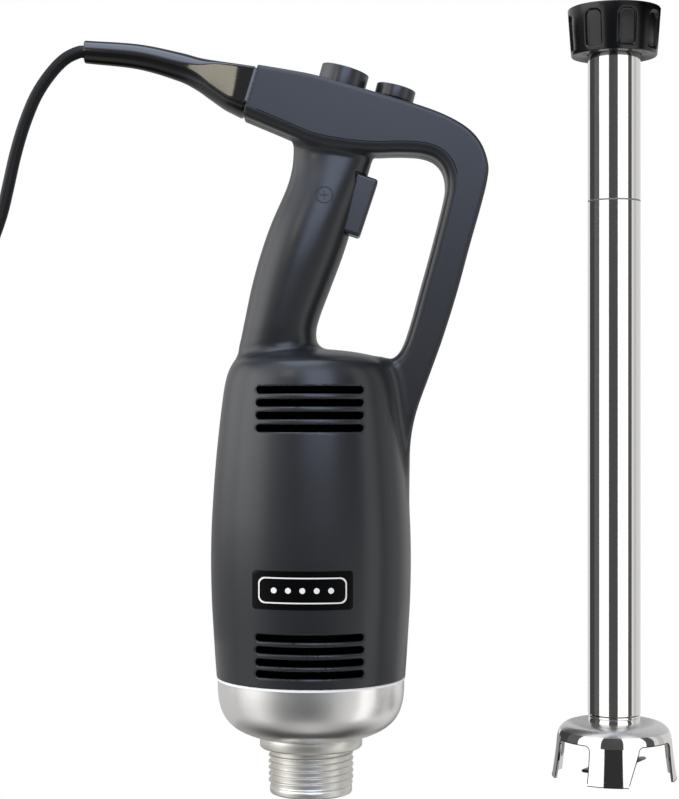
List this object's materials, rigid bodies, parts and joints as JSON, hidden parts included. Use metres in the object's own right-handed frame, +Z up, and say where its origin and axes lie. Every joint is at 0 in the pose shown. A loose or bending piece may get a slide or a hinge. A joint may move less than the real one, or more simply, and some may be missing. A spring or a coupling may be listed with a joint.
{
  "type": "immersion blender",
  "caption": "Stick blender: motor unit with loop handle, vents and mains lead, standing beside its detached blending shaft with collar nut and bell guard.",
  "frame": {"origin": "centre of the box round both units, lead left out, on the floor they stand on", "axes": "+Z up along both units' axes, +X from the motor unit to the shaft, -Y is the front with the badge and the controls in profile"},
  "size_m": [0.4412, 0.2358, 0.3871],
  "materials": {
    "housing": "satin, fine texture",
    "black_plastic": "semi-gloss",
    "cord_rubber": "matt",
    "aluminium": "satin",
    "polished_steel": "polished",
    "spring_steel": "bright",
    "copper": "bright",
    "iron": "machined",
    "carbon": "matt",
    "bronze": "satin",
    "board": "lacquered",
    "nylon": "satin"
  },
  "bodies": {
    "motor_unit": {"housing_front": "housing", "housing_rear": "housing", "housing_screw_1": "spring_steel", "housing_screw_2": "spring_steel", "housing_screw_3": "spring_steel", "housing_screw_4": "spring_steel", "housing_screw_5": "spring_steel", "badge_plate": "black_plastic", "nose_cap": "aluminium", "trim_ring": "polished_steel", "threaded_nose": "aluminium", "nose_seal": "black_plastic", "stator_core": "iron", "field_coil_front": "copper", "field_coil_rear": "copper", "lower_bearing": "polished_steel", "upper_bearing": "polished_steel", "lower_bearing_bracket": "aluminium", "upper_bearing_bracket": "aluminium", "brush_holder_left": "bronze", "brush_holder_right": "bronze", "carbon_brush_left": "carbon", "carbon_brush_right": "carbon", "enable_switch": "black_plastic", "trigger_switch": "black_plastic", "potentiometer": "nylon", "control_board": "board", "cord_boot": "black_plastic", "cord_clamp": "nylon", "power_cord": "cord_rubber", "cord_coil": "cord_rubber", "power_cord_tail": "cord_rubber", "plug_body": "black_plastic", "plug_blade_live": "spring_steel", "plug_blade_neutral": "spring_steel", "plug_ground_pin": "spring_steel"},
    "rotor": {"motor_spindle": "iron", "armature_core": "iron", "armature_winding_lower": "copper", "armature_winding_upper": "copper", "commutator": "copper", "cooling_fan": "nylon", "output_coupling": "polished_steel"},
    "enable_button": {"enable_button": "housing", "enable_button_spring": "spring_steel"},
    "speed_dial": {"speed_dial": "housing"},
    "trigger": {"trigger": "black_plastic", "trigger_spring": "spring_steel"},
    "shaft": {"outer_tube": "polished_steel", "shaft_hub": "aluminium", "upper_bushing": "bronze", "lower_bushing": "bronze", "shaft_seal": "black_plastic", "bell_guard": "polished_steel"},
    "locking_nut": {"locking_nut": "black_plastic", "nut_ring": "black_plastic"},
    "blade_assembly": {"drive_shaft": "polished_steel", "driven_coupling": "polished_steel", "blade": "polished_steel", "blade_nut": "polished_steel"}
  },
  "joints": [
    {"name": "rotor_spin", "type": "hinge", "parent": "motor_unit", "child": "rotor", "pos_m": [-0.0372, -0.00955, 0.12], "axis": [0, 0, 1], "continuous": true},
    {"name": "enable_press", "type": "slide", "parent": "motor_unit", "child": "enable_button", "axis": [-0.2756, 0, -0.9613], "range_m": [0, 0.003], "stiffness_N_per_m": 600, "springref_m": -0.001, "deforming": ["enable_button_spring"]},
    {"name": "dial_turn", "type": "hinge", "parent": "motor_unit", "child": "speed_dial", "pos_m": [0.0025, -0.00955, 0.3345], "axis": [0.2504, 0, 0.9681], "range_deg": [0, 270]},
    {"name": "trigger_pull", "type": "slide", "parent": "motor_unit", "child": "trigger", "axis": [-0.9489, 0, 0.3156], "range_m": [0, 0.004], "stiffness_N_per_m": 500, "springref_m": -0.001, "deforming": ["trigger_spring"]},
    {"name": "shaft_lift", "type": "slide", "parent": "motor_unit", "child": "shaft", "axis": [0, 0, 1], "range_m": [0, 0.1]},
    {"name": "nut_turn", "type": "hinge", "parent": "shaft", "child": "locking_nut", "pos_m": [0.1153, 0.02645, 0.375], "axis": [0, 0, 1], "continuous": true},
    {"name": "blade_spin", "type": "hinge", "parent": "shaft", "child": "blade_assembly", "pos_m": [0.1153, 0.02645, 0.2], "axis": [0, 0, 1], "continuous": true}
  ]
}
